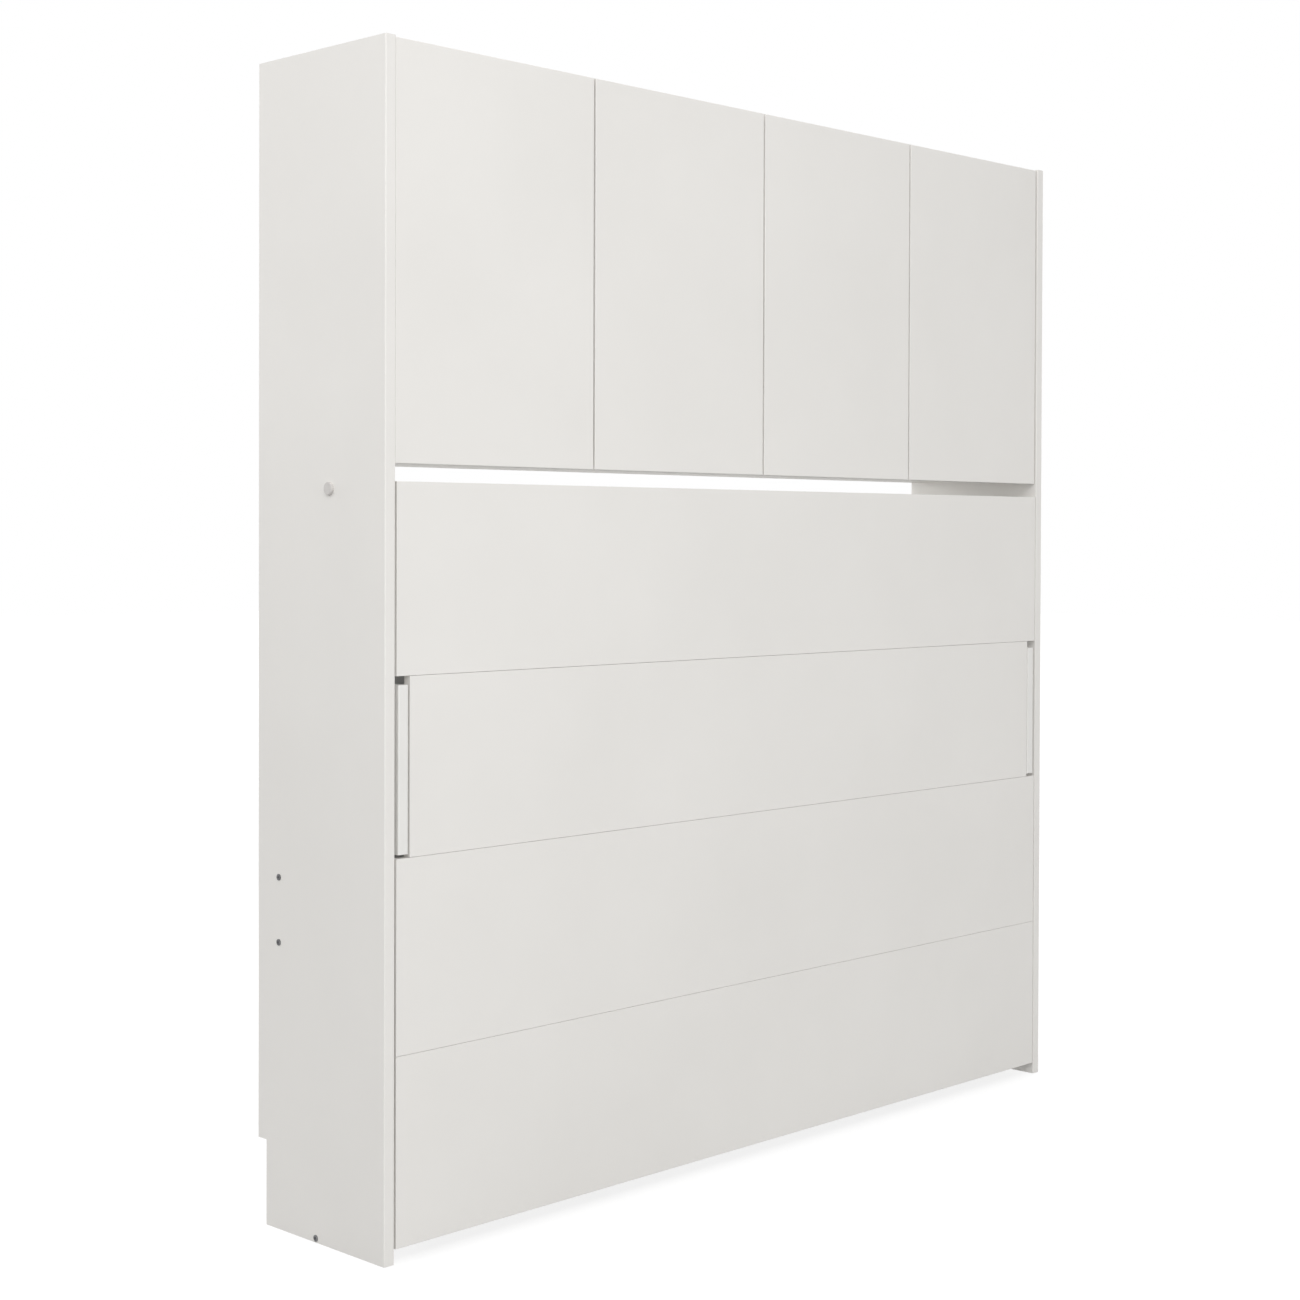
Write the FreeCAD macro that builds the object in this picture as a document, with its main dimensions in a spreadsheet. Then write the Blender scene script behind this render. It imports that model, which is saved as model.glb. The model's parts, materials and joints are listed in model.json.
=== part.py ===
import FreeCAD, Part
import math
import os
import re

import Sketcher

# Wall bed that tips down along its long side, with a cupboard above it.
# X runs to the right, Y to the wall, Z up; the origin is on the floor under the middle of the case.
# All sizes are in millimetres. A depth is counted back from the front face, a height up from the floor.
SIZES = {
    # case
    "overall_width": 2200,
    "overall_height": 2380,
    "overall_depth": 412,
    "side_thickness": 25,
    "side_edge_radius": 2.5,
    "skirting_depth": 28,
    "skirting_height": 175,
    "case_thickness": 22,
    "case_setback": 5.5,
    "grip_lip": 9.5,
    "back_thickness": 4,
    "wall_rail_thickness": 18,
    "wall_rail_height": 100,
    "wall_hole_spread": 1600,
    "wall_hole_radius": 4,
    "floor_rail_width": 150,
    "floor_rail_thickness": 18,
    "floor_rail_depth": 217,
    "stretcher_thickness": 22,
    "stretcher_height": 195,
    "stretcher_bottom": 555,
    "stretcher_inset": 70,
    "stretcher_bolt_edge": 31,
    "bolt_radius": 3.5,
    "bolt_length": 70,
    "bolt_head_radius": 6.5,
    "bolt_head_height": 1.5,
    "bolt_socket_radius": 2.9,
    "bolt_socket_depth": 1.2,
    "plug_radius": 10,
    "plug_thickness": 9,
    "plug_head_radius": 13,
    "plug_head_height": 6,
    "plug_edge_radius": 1.5,
    "plug_depth": 174.5,
    "plug_height": 1508,
    "cam_radius": 7.5,
    "cam_length": 13,
    "cam_end": 34,
    "cam_inset": 70,
    "screw_radius": 3,
    "screw_length": 20,
    "screw_head_radius": 5.5,
    "screw_head_height": 1.4,
    "hole_clearance": 0.2,
    "running_clearance": 0.05,
    "part_gap": 0.3,
    # shelves
    "shelf_thickness": 18,
    "shelf_clearance": 1,
    "shelf_setback": 16,
    "shelf_pin_radius": 2.5,
    "shelf_pin_length": 18,
    "shelf_pin_inset": 60,
    # doors and their hinges
    "finger_gap": 34.5,
    "door_top_gap": 2,
    "door_thickness": 18,
    "door_setback": 4,
    "door_gap": 4.5,
    "door_side_gap": 2.5,
    "door_edge_radius": 2,
    "bumper_radius": 4,
    "bumper_inset": 30,
    "hinge_end": 100,
    "hinge_pin_inset": 11,
    "hinge_pin_depth": 7.5,
    "hinge_pin_radius": 1.75,
    "hinge_eye_radius": 3.3,
    "cup_radius": 17.3,
    "cup_depth": 14.9,
    "cup_wall": 0.7,
    "cup_inset": 22.5,
    "cup_flange_width": 12,
    "cup_flange_height": 58,
    "cup_flange_thickness": 1.2,
    "arm_thickness": 2.5,
    "arm_width": 12,
    "arm_offset": 13.5,
    "arm_crank_depth": 32,
    "arm_length": 50,
    "hinge_plate_thickness": 3,
    "hinge_plate_height": 44,
    # bed front
    "front_thickness": 18,
    "front_gap": 4,
    "floor_clearance": 29,
    "board_1_height": 377.5,
    "board_2_height": 354,
    "board_3_height": 384,
    "board_4_height": 374.2,
    "board_joint": 0.6,
    "board_edge_radius": 0.5,
    "leg_slot_width": 33,
    # bed frame
    "strut_space": 46,
    "frame_margin": 26.75,
    "rail_depth": 40,
    "rail_height": 40,
    "end_rail_width": 25,
    "tube_wall": 2,
    "rail_cap_length": 15,
    "tie_width": 30,
    "tie_depth": 25,
    "tie_spread": 680,
    "board_screw_radius": 2,
    "board_screw_bite": 10,
    "board_screw_head_radius": 4,
    "board_screw_head_height": 2.5,
    "board_screw_edge": 90,
    "slat_count": 18,
    "slat_width": 70,
    "slat_thickness": 12,
    "slat_end_gap": 2,
    "guard_thickness": 18,
    "guard_depth": 76,
    "guard_gap": 1,
    # mattress and straps
    "mattress_end_gap": 11,
    "mattress_thickness": 160,
    "mattress_corner_radius": 60,
    "mattress_edge_radius": 28,
    "strap_width": 40,
    "strap_thickness": 2,
    "strap_spread": 1000,
    "strap_gap": 2,
    "strap_tail": 50,
    "buckle_width": 56,
    "buckle_height": 44,
    "buckle_thickness": 5,
    "buckle_bar": 7,
    "buckle_drop": 420,
    # pivot and legs
    "pivot_depth": 46,
    "pivot_stud_radius": 10,
    "pivot_collar_radius": 15,
    "pivot_boss_radius": 17,
    "pivot_boss_length": 14,
    "bush_wall": 3,
    "flange_thickness": 3,
    "flange_front": 28,
    "flange_back": 60,
    "flange_rise": 60,
    "flange_screw_edge": 14,
    "swing_plate_thickness": 6,
    "swing_plate_margin": 18,
    "swing_plate_rise": 60,
    "swing_plate_radius": 8,
    "leg_width": 25,
    "leg_depth": 40,
    "leg_side": 21,
    "leg_end_gap": 7,
    "leg_head": 15,
    "leg_wall": 2,
    "leg_edge_radius": 3,
    "leg_pin_depth": 27,
    "leg_pin_drop": 32,
    "leg_pin_radius": 5,
    "leg_pin_head_radius": 7,
    "leg_pin_head_height": 2,
    "leg_shoulder_radius": 7,
    "foot_height": 5,
    "foot_plug": 20,
    # gas struts
    "strut_side": 22,
    "strut_anchor_gap": 55,
    "strut_anchor_up": 280,
    "strut_crank_back": 45,
    "strut_crank_down": 110,
    "strut_tube_radius": 12,
    "strut_tube_bore": 10.5,
    "strut_tube_length": 225,
    "strut_tube_start": 14,
    "strut_guide_length": 6,
    "strut_neck_radius": 4.5,
    "strut_rod_radius": 4,
    "strut_rod_hold": 20,
    "strut_piston_length": 6,
    "strut_eye_radius": 10,
    "strut_eye_width": 10,
    "strut_stud_radius": 5,
    "strut_shoulder_radius": 8,
    "strut_cap_thickness": 3,
    "strut_bracket_width": 50,
    "strut_bracket_height": 92,
    "strut_screw_edge": 14,
    "open_pivot_gap": 0.5,
    # closing stops
    "stop_width": 30,
    "stop_depth": 40,
    "stop_height": 40,
    "stop_top_drop": 12,
    "buffer_thickness": 6,
}

# Places that several pieces share, worked out from the sizes.
HALF = "(overall_width / 2)"
INNER = "(overall_width / 2 - side_thickness)"
BOARD_4_TOP = "(floor_clearance + board_4_height)"
BOARD_3_LOW = f"({BOARD_4_TOP} + board_joint)"
BOARD_3_TOP = f"({BOARD_3_LOW} + board_3_height)"
BOARD_2_LOW = f"({BOARD_3_TOP} + board_joint)"
BOARD_2_TOP = f"({BOARD_2_LOW} + board_2_height)"
BOARD_1_LOW = f"({BOARD_2_TOP} + board_joint)"
BOARD_1_TOP = f"({BOARD_1_LOW} + board_1_height)"
DOOR_BOTTOM = f"({BOARD_1_TOP} + finger_gap)"
DOOR_TOP = "(overall_height - door_top_gap)"
DOOR_WIDTH = f"((2 * ({INNER} - door_side_gap) - 3 * door_gap) / 4)"
DOOR_BACK = "(door_setback + door_thickness)"
HINGE_PIN = "(door_setback + hinge_pin_depth)"
CASE_FRONT = f"({DOOR_BACK} + case_setback)"
CUPBOARD_FLOOR = f"({DOOR_BOTTOM} + grip_lip)"
CUPBOARD_LOW = f"({CUPBOARD_FLOOR} + case_thickness)"
CUPBOARD_HIGH = "(overall_height - case_thickness)"
WALL_RAIL_FRONT = "(overall_depth - wall_rail_thickness)"
BACK_FRONT = f"({WALL_RAIL_FRONT} - back_thickness)"
STRETCHER_DEPTH = "(overall_depth - stretcher_inset)"
SHELF_LOW = f"(({CUPBOARD_LOW} + {CUPBOARD_HIGH} - shelf_thickness) / 2)"
MID_HEIGHT = f"((floor_clearance + {BOARD_1_TOP}) / 2)"
GUARD_LOW = "(floor_clearance + frame_margin)"
GUARD_HIGH = f"({BOARD_1_TOP} - frame_margin)"
MATTRESS_LOW = f"({GUARD_LOW} + guard_thickness + guard_gap)"
MATTRESS_HIGH = f"({GUARD_HIGH} - guard_thickness - guard_gap)"
RAIL_BACK = "(front_thickness + rail_depth)"
GUARD_BACK = f"({RAIL_BACK} + guard_depth)"
SLAT_BACK = f"({RAIL_BACK} + slat_thickness)"
MATTRESS_BACK = f"({SLAT_BACK} + part_gap + mattress_thickness)"
END_OUTER = f"({INNER} - strut_space)"
END_INNER = f"({END_OUTER} - end_rail_width)"
MATTRESS_HALF = f"({END_OUTER} - guard_thickness - mattress_end_gap)"
LEG_PIN_HEIGHT = f"({BOARD_2_TOP} - leg_pin_drop)"
LEG_LENGTH = "(board_2_height - leg_pin_drop - leg_end_gap)"
LEG_LOW = f"({LEG_PIN_HEIGHT} - {LEG_LENGTH})"
LEG_X = f"({INNER} - leg_side)"
PIVOT_HEIGHT = f"({LEG_LENGTH} + pivot_depth - leg_pin_depth)"
FLANGE_FACE = f"({INNER} - flange_thickness)"
PLATE_FACE = f"({END_OUTER} + swing_plate_thickness)"
BOSS_FACE = f"({PLATE_FACE} + pivot_boss_length)"
STRUT_X = f"({INNER} - strut_side)"
ANCHOR_DEPTH = f"({STRETCHER_DEPTH} - stretcher_thickness / 2 - strut_anchor_gap)"
ANCHOR_HEIGHT = f"({PIVOT_HEIGHT} + strut_anchor_up)"
CRANK_DEPTH = "(pivot_depth + strut_crank_back)"
CRANK_HEIGHT = f"({PIVOT_HEIGHT} - strut_crank_down)"
STRUT_RUN = f"({ANCHOR_DEPTH} - {CRANK_DEPTH})"
STRUT_FALL = "(strut_anchor_up + strut_crank_down)"
STRUT_LENGTH = f"sqrt({STRUT_RUN} ^ 2 + {STRUT_FALL} ^ 2)"
STRUT_TUBE_END = "(strut_tube_start + strut_tube_length)"

# Doors 1 and 3 hang on their left edges; doors 4 and 2 are their mirror images.
DOOR_1_EDGE = f"(-{INNER} + door_side_gap)"
DOOR_3_EDGE = "(door_gap / 2)"
HINGE_HEIGHTS = (f"({DOOR_BOTTOM} + hinge_end)", f"({DOOR_TOP} - hinge_end)")
SHELF_PIN_DEPTHS = (
    f"({CASE_FRONT} + shelf_setback + shelf_pin_inset)",
    f"({BACK_FRONT} - shelf_pin_inset)",
)
SHELF_PIN_HEIGHT = f"({SHELF_LOW} - shelf_pin_radius - hole_clearance)"
STRETCHER_BOLTS = (
    (STRETCHER_DEPTH, "(stretcher_bottom + stretcher_bolt_edge)"),
    (STRETCHER_DEPTH, "(stretcher_bottom + stretcher_height - stretcher_bolt_edge)"),
)
FLOOR_BOLT = ("floor_rail_depth", "(floor_rail_thickness / 2)")
FLANGE_SCREWS = [
    (depth, f"({PIVOT_HEIGHT} {sign} (flange_rise - flange_screw_edge))")
    for depth in (
        "(pivot_depth - flange_front + flange_screw_edge)",
        "(pivot_depth + flange_back - flange_screw_edge)",
    )
    for sign in "+-"
]
STRUT_SCREWS = [
    (ANCHOR_DEPTH, f"({ANCHOR_HEIGHT} {sign} (strut_bracket_height / 2 - strut_screw_edge))")
    for sign in "+-"
]
WALL_HOLES = [
    (f"({sign} wall_hole_spread / 2)", height)
    for sign in "+-"
    for height in (f"({CUPBOARD_LOW} + wall_rail_height / 2)", f"({CUPBOARD_HIGH} - wall_rail_height / 2)")
]

doc = FreeCAD.newDocument("wall_bed")
sheet = doc.addObject("Spreadsheet::Sheet", "Sizes")
for row, (alias, value) in enumerate(SIZES.items(), start=1):
    sheet.set(f"A{row}", alias.replace("_", " "))
    sheet.set(f"B{row}", str(value))
    sheet.setAlias(f"B{row}", alias)
doc.recompute()

nodes = {}
TURN = {
    "x": FreeCAD.Rotation(FreeCAD.Vector(0, 1, 0), 90),
    "y": FreeCAD.Rotation(FreeCAD.Vector(1, 0, 0), -90),
    "z": FreeCAD.Rotation(),
}


def bind(text):
    """Turn each size's name into a reference to its cell."""
    return re.sub(
        r"[a-z][a-z0-9_]*",
        lambda word: "Sizes." + word.group(0) if word.group(0) in SIZES else word.group(0),
        text,
    )


def place(part, x, depth, z):
    part.setExpression("Placement.Base.x", bind(x))
    part.setExpression("Placement.Base.y", bind(f"({depth}) - overall_depth / 2"))
    part.setExpression("Placement.Base.z", bind(z))


def box(name, x, depth, z):
    """Box between pairs of places along X, depth and Z."""
    part = doc.addObject("Part::Box", name)
    for side, (low, high) in zip(("Length", "Width", "Height"), (x, depth, z)):
        part.setExpression(side, bind(f"({high}) - ({low})"))
    place(part, x[0], depth[0], z[0])
    return part


def round_bar(name, axis, radius, span, at):
    """Cylinder along an axis; at holds its two other places in X, depth, Z order."""
    part = doc.addObject("Part::Cylinder", name)
    part.setExpression("Radius", bind(radius))
    part.setExpression("Height", bind(f"({span[1]}) - ({span[0]})"))
    part.Placement = FreeCAD.Placement(FreeCAD.Vector(), TURN[axis])
    base = list(at)
    base.insert("xyz".index(axis), span[0])
    place(part, *base)
    return part


def group(name, parts):
    part = doc.addObject("Part::Compound", name)
    part.Links = list(parts)
    return part


def mirrored(name, source):
    """Copy of a piece on the other side of the middle plane."""
    part = doc.addObject("Part::Mirroring", name)
    part.Source = source
    part.Base = FreeCAD.Vector(0, 0, 0)
    part.Normal = FreeCAD.Vector(1, 0, 0)
    return part


def cut(name, base, tools):
    part = doc.addObject("Part::Cut", name)
    part.Base = base
    part.Tool = tools[0] if len(tools) == 1 else group(name + "_tools", tools)
    return part


def fuse(name, parts):
    part = doc.addObject("Part::MultiFuse", name)
    part.Shapes = list(parts)
    part.Refine = True
    return part


def rounded(name, base, rules):
    """Fillet edges of a piece; each rule is a size's name and a test on an edge's box."""
    doc.recompute()
    part = doc.addObject("Part::Fillet", name)
    part.Base = base
    edges = []
    for number, edge in enumerate(base.Shape.Edges, start=1):
        for size, wanted in rules:
            if wanted(edge.BoundBox):
                radius = float(sheet.get(size))
                edges.append((number, radius, radius))
                break
    part.Edges = edges
    return part


def side_profile(name, points, x, width, corner=None):
    """Body whose outline, given in depth and height, is padded along X; corner rounds chosen edges."""
    body = doc.addObject("PartDesign::Body", name)
    sketch = body.newObject("Sketcher::SketchObject", name + "_outline")
    plane = next(item for item in body.Origin.OriginFeatures if item.Role == "YZ_Plane")
    sketch.AttachmentSupport = [(plane, "")]
    sketch.MapMode = "FlatFace"
    count = len(points)
    start = [
        FreeCAD.Vector(-math.cos(2 * math.pi * i / count), -math.sin(2 * math.pi * i / count), 0)
        for i in range(count)
    ]
    for i in range(count):
        sketch.addGeometry(Part.LineSegment(start[i], start[(i + 1) % count]), False)
    for i in range(count):
        sketch.addConstraint(Sketcher.Constraint("Coincident", i, 2, (i + 1) % count, 1))
    for i, (depth, height) in enumerate(points):
        rule = sketch.addConstraint(Sketcher.Constraint("DistanceX", -1, 1, i, 1, start[i].x))
        sketch.setExpression(f"Constraints[{rule}]", bind(f"({depth}) - overall_depth / 2"))
        rule = sketch.addConstraint(Sketcher.Constraint("DistanceY", -1, 1, i, 1, start[i].y))
        sketch.setExpression(f"Constraints[{rule}]", bind(height))
    pad = body.newObject("PartDesign::Pad", name + "_pad")
    pad.Profile = sketch
    pad.setExpression("Length", bind(width))
    body.setExpression("Placement.Base.x", bind(x))
    if corner:
        size, wanted = corner
        doc.recompute()
        edges = [f"Edge{n}" for n, edge in enumerate(pad.Shape.Edges, 1) if wanted(edge.BoundBox)]
        fillet = body.newObject("PartDesign::Fillet", name + "_corners")
        fillet.Base = (pad, edges)
        fillet.setExpression("Radius", bind(size))
    return body


def keep(label, part):
    """Name a finished sub-part, which becomes one file."""
    part.Label = label
    nodes[label] = part


def keep_pair(label, right):
    keep(label + "_right", right)
    keep(label + "_left", mirrored(label + "_left", right))


def keep_both(label, right):
    keep(label, group(label, [right, mirrored(right.Name + "_left", right)]))


def front_edges(front):
    """Test for the edges that lie in the front plane at the given Y."""
    return lambda edge: abs(edge.YMax - front) < 0.01


def outer_edges(reach):
    """Test for the edges that lie in the outermost plane at the given X."""
    return lambda edge: abs(edge.XMin - reach) < 0.01


def upright(edge):
    return edge.XLength < 0.01 and edge.YLength < 0.01


def cross_bolt(name, at):
    """Connector bolt through the right side panel, with a hex socket in its head."""
    head_end = f"({HALF} + bolt_head_height)"
    shank = round_bar(name + "_shank", "x", "bolt_radius", (f"({HALF} - bolt_length)", HALF), at)
    head = round_bar(name + "_head", "x", "bolt_head_radius", (HALF, head_end), at)
    socket = doc.addObject("Part::Prism", name + "_socket")
    socket.Polygon = 6
    socket.setExpression("Circumradius", bind("bolt_socket_radius"))
    socket.setExpression("Height", bind("bolt_socket_depth * 2"))
    socket.Placement = FreeCAD.Placement(FreeCAD.Vector(), TURN["x"])
    place(socket, f"({head_end} - bolt_socket_depth)", *at)
    return cut(name, fuse(name + "_body", [shank, head]), [socket])


def make_side_panels():
    back = "overall_depth"
    notch = "overall_depth - skirting_depth"
    outline = [
        ("0", "0"),
        (notch, "0"),
        (notch, "skirting_height"),
        (back, "skirting_height"),
        (back, "overall_height"),
        ("0", "overall_height"),
    ]
    front = -float(sheet.get("overall_depth")) / 2
    board = side_profile(
        "side_board", outline, INNER, "side_thickness",
        ("side_edge_radius", lambda edge: upright(edge) and front_edges(front)(edge)),
    )
    through = (f"{INNER} - part_gap", f"{HALF} + part_gap")
    holes = [round_bar("plug_hole", "x", "plug_radius", through, ("plug_depth", "plug_height"))]
    for i, at in enumerate(STRETCHER_BOLTS + (FLOOR_BOLT,)):
        holes.append(round_bar(f"side_bolt_hole_{i}", "x", "bolt_radius + hole_clearance", through, at))
    pin_end = f"{INNER} + shelf_pin_length / 2 + hole_clearance"
    for i, depth in enumerate(SHELF_PIN_DEPTHS):
        at = (depth, SHELF_PIN_HEIGHT)
        holes.append(round_bar(
            f"side_pin_hole_{i}", "x", "shelf_pin_radius + hole_clearance",
            (f"{INNER} - part_gap", pin_end), at))
    screw_end = f"{FLANGE_FACE} + screw_length + hole_clearance"
    for i, at in enumerate(FLANGE_SCREWS + STRUT_SCREWS):
        holes.append(round_bar(
            f"side_screw_hole_{i}", "x", "screw_radius + hole_clearance",
            (f"{INNER} - part_gap", screw_end), at))
    keep_pair("side_panel", cut("side_panel_right", board, holes))

    at = ("plug_depth", "plug_height")
    plug_face = f"({HALF} + plug_head_height)"
    stem = round_bar("plug_stem", "x", "plug_radius - hole_clearance", (f"{HALF} - plug_thickness", HALF), at)
    head = round_bar("plug_head", "x", "plug_head_radius", (HALF, plug_face), at)
    reach = float(sheet.get("overall_width")) / 2 + float(sheet.get("plug_head_height"))
    plug = rounded("plug", fuse("plug_blank", [stem, head]), [("plug_edge_radius", outer_edges(reach))])
    keep_both("hole_plugs", plug)


def make_case():
    across = (f"-{INNER}", INNER)
    cams = []
    panels = (
        ("top_panel", (CUPBOARD_HIGH, "overall_height"), (CUPBOARD_HIGH, f"{CUPBOARD_HIGH} + cam_length")),
        ("cupboard_floor", (CUPBOARD_FLOOR, CUPBOARD_LOW), (f"{CUPBOARD_LOW} - cam_length", CUPBOARD_LOW)),
    )
    for label, height, cam_height in panels:
        board = box(label + "_board", across, (CASE_FRONT, "overall_depth"), height)
        holes = []
        for side in "+-":
            for i, depth in enumerate((f"({CASE_FRONT} + cam_inset)", f"({BACK_FRONT} - cam_inset)")):
                name = f"{label}_cam_{'right' if side == '+' else 'left'}_{i}"
                at = (f"({side} ({INNER} - cam_end))", depth)
                cams.append(round_bar(name, "z", "cam_radius", cam_height, at))
                holes.append(round_bar(name + "_hole", "z", "cam_radius + hole_clearance", cam_height, at))
        keep(label, cut(label, board, holes))
    keep("cam_fittings", group("cam_fittings", cams))

    half = "case_thickness / 2"
    board = box(
        "partition_board", (f"-{half}", half), (CASE_FRONT, BACK_FRONT), (CUPBOARD_LOW, CUPBOARD_HIGH))
    pin_base = f"({half} - shelf_pin_length / 2 - hole_clearance)"
    holes = []
    for i, depth in enumerate(SHELF_PIN_DEPTHS):
        spans = {"right": (pin_base, f"{half} + part_gap"), "left": (f"-{half} - part_gap", f"-{pin_base}")}
        for side, span in spans.items():
            holes.append(round_bar(
                f"partition_pin_hole_{side}_{i}", "x", "shelf_pin_radius + hole_clearance",
                span, (depth, SHELF_PIN_HEIGHT)))
    keep("centre_partition", cut("centre_partition", board, holes))

    shelf = box(
        "shelf", (f"{half} + shelf_clearance", f"{INNER} - shelf_clearance"),
        (f"{CASE_FRONT} + shelf_setback", f"{BACK_FRONT} - shelf_clearance"),
        (SHELF_LOW, f"{SHELF_LOW} + shelf_thickness"))
    keep_both("shelves", shelf)
    pins = []
    for i, depth in enumerate(SHELF_PIN_DEPTHS):
        for side, face in (("outer", INNER), ("inner", f"({half})")):
            span = (f"{face} - shelf_pin_length / 2", f"{face} + shelf_pin_length / 2")
            pins.append(round_bar(
                f"pin_{side}_{i}", "x", "shelf_pin_radius", span, (depth, SHELF_PIN_HEIGHT)))
    keep_both("shelf_pins", group("shelf_pins_right", pins))

    back = box("back_board", across, (BACK_FRONT, WALL_RAIL_FRONT), (CUPBOARD_LOW, CUPBOARD_HIGH))
    rail_depth = (WALL_RAIL_FRONT, "overall_depth")
    low = box("wall_rail_low", across, rail_depth, (CUPBOARD_LOW, f"{CUPBOARD_LOW} + wall_rail_height"))
    high = box("wall_rail_high", across, rail_depth, (f"{CUPBOARD_HIGH} - wall_rail_height", CUPBOARD_HIGH))
    holes = [
        round_bar(f"wall_hole_{i}", "y", "wall_hole_radius",
                  (f"{BACK_FRONT} - part_gap", "overall_depth + part_gap"), at)
        for i, at in enumerate(WALL_HOLES)
    ]
    keep("back_panel", cut("back_panel", back, holes))
    keep("wall_rails", cut("wall_rails", group("wall_rail_boards", [low, high]), holes))

    bolt_end = f"({HALF} - bolt_length - hole_clearance)"
    boards = (
        ("rear_stretcher", STRETCHER_DEPTH, "stretcher_thickness",
         ("stretcher_bottom", "stretcher_bottom + stretcher_height"), STRETCHER_BOLTS),
        ("floor_rail", "floor_rail_depth", "floor_rail_width", ("0", "floor_rail_thickness"), (FLOOR_BOLT,)),
    )
    bolts = []
    for label, middle, width, height, places in boards:
        board = box(label + "_board", across, (f"{middle} - {width} / 2", f"{middle} + {width} / 2"), height)
        holes = []
        for i, at in enumerate(places):
            name = f"{label}_bolt_{i}"
            hole = round_bar(
                name + "_hole", "x", "bolt_radius + hole_clearance", (bolt_end, f"{INNER} + part_gap"), at)
            holes += [hole, mirrored(name + "_hole_left", hole)]
            bolts.append(cross_bolt(name, at))
        keep(label, cut(label, board, holes))
    keep_both("side_bolts", group("side_bolts_right", bolts))


def make_doors():
    height = (DOOR_BOTTOM, DOOR_TOP)
    front = float(sheet.get("door_setback")) - float(sheet.get("overall_depth")) / 2
    cup_floor = f"({DOOR_BACK} - cup_depth)"
    for number, edge, twin in ((1, DOOR_1_EDGE, 4), (3, DOOR_3_EDGE, 2)):
        name = f"door_{number}"
        slab = box(name + "_slab", (edge, f"{edge} + {DOOR_WIDTH}"), ("door_setback", DOOR_BACK), height)
        soft = rounded(name + "_soft", slab, [("door_edge_radius", front_edges(front))])
        centre = f"({edge} + cup_inset)"
        pin = (f"({edge} + hinge_pin_inset)", HINGE_PIN)
        holes = []
        cups = []
        for i, z in enumerate(HINGE_HEIGHTS):
            part = f"{name}_cup_{i}"
            holes.append(round_bar(
                part + "_hole", "y", "cup_radius + hole_clearance",
                (f"{cup_floor} - hole_clearance", f"{DOOR_BACK} + part_gap"), (centre, z)))
            shell = round_bar(part + "_shell", "y", "cup_radius", (cup_floor, DOOR_BACK), (centre, z))
            flange = box(
                part + "_flange",
                (f"{centre} - cup_flange_width / 2", f"{centre} + cup_flange_width / 2"),
                (DOOR_BACK, f"{DOOR_BACK} + cup_flange_thickness"),
                (f"{z} - cup_flange_height / 2", f"{z} + cup_flange_height / 2"))
            hollow = round_bar(
                part + "_hollow", "y", "cup_radius - cup_wall",
                (f"{cup_floor} + cup_wall", f"{DOOR_BACK} + cup_flange_thickness + part_gap"), (centre, z))
            bore = round_bar(
                part + "_bore", "z", "hinge_pin_radius + running_clearance",
                (f"{z} - cup_radius", f"{z} + cup_radius"), pin)
            void = fuse(part + "_void", [hollow, bore])
            cups.append(cut(part, fuse(part + "_body", [shell, flange]), [void]))
        door = cut(name, soft, holes)
        keep(name, door)
        keep(f"door_{twin}", mirrored(f"door_{twin}", door))
        cup_pair = group(name + "_hinge_cups", cups)
        keep(name + "_hinge_cups", cup_pair)
        keep(f"door_{twin}_hinge_cups", mirrored(f"door_{twin}_hinge_cups", cup_pair))


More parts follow.
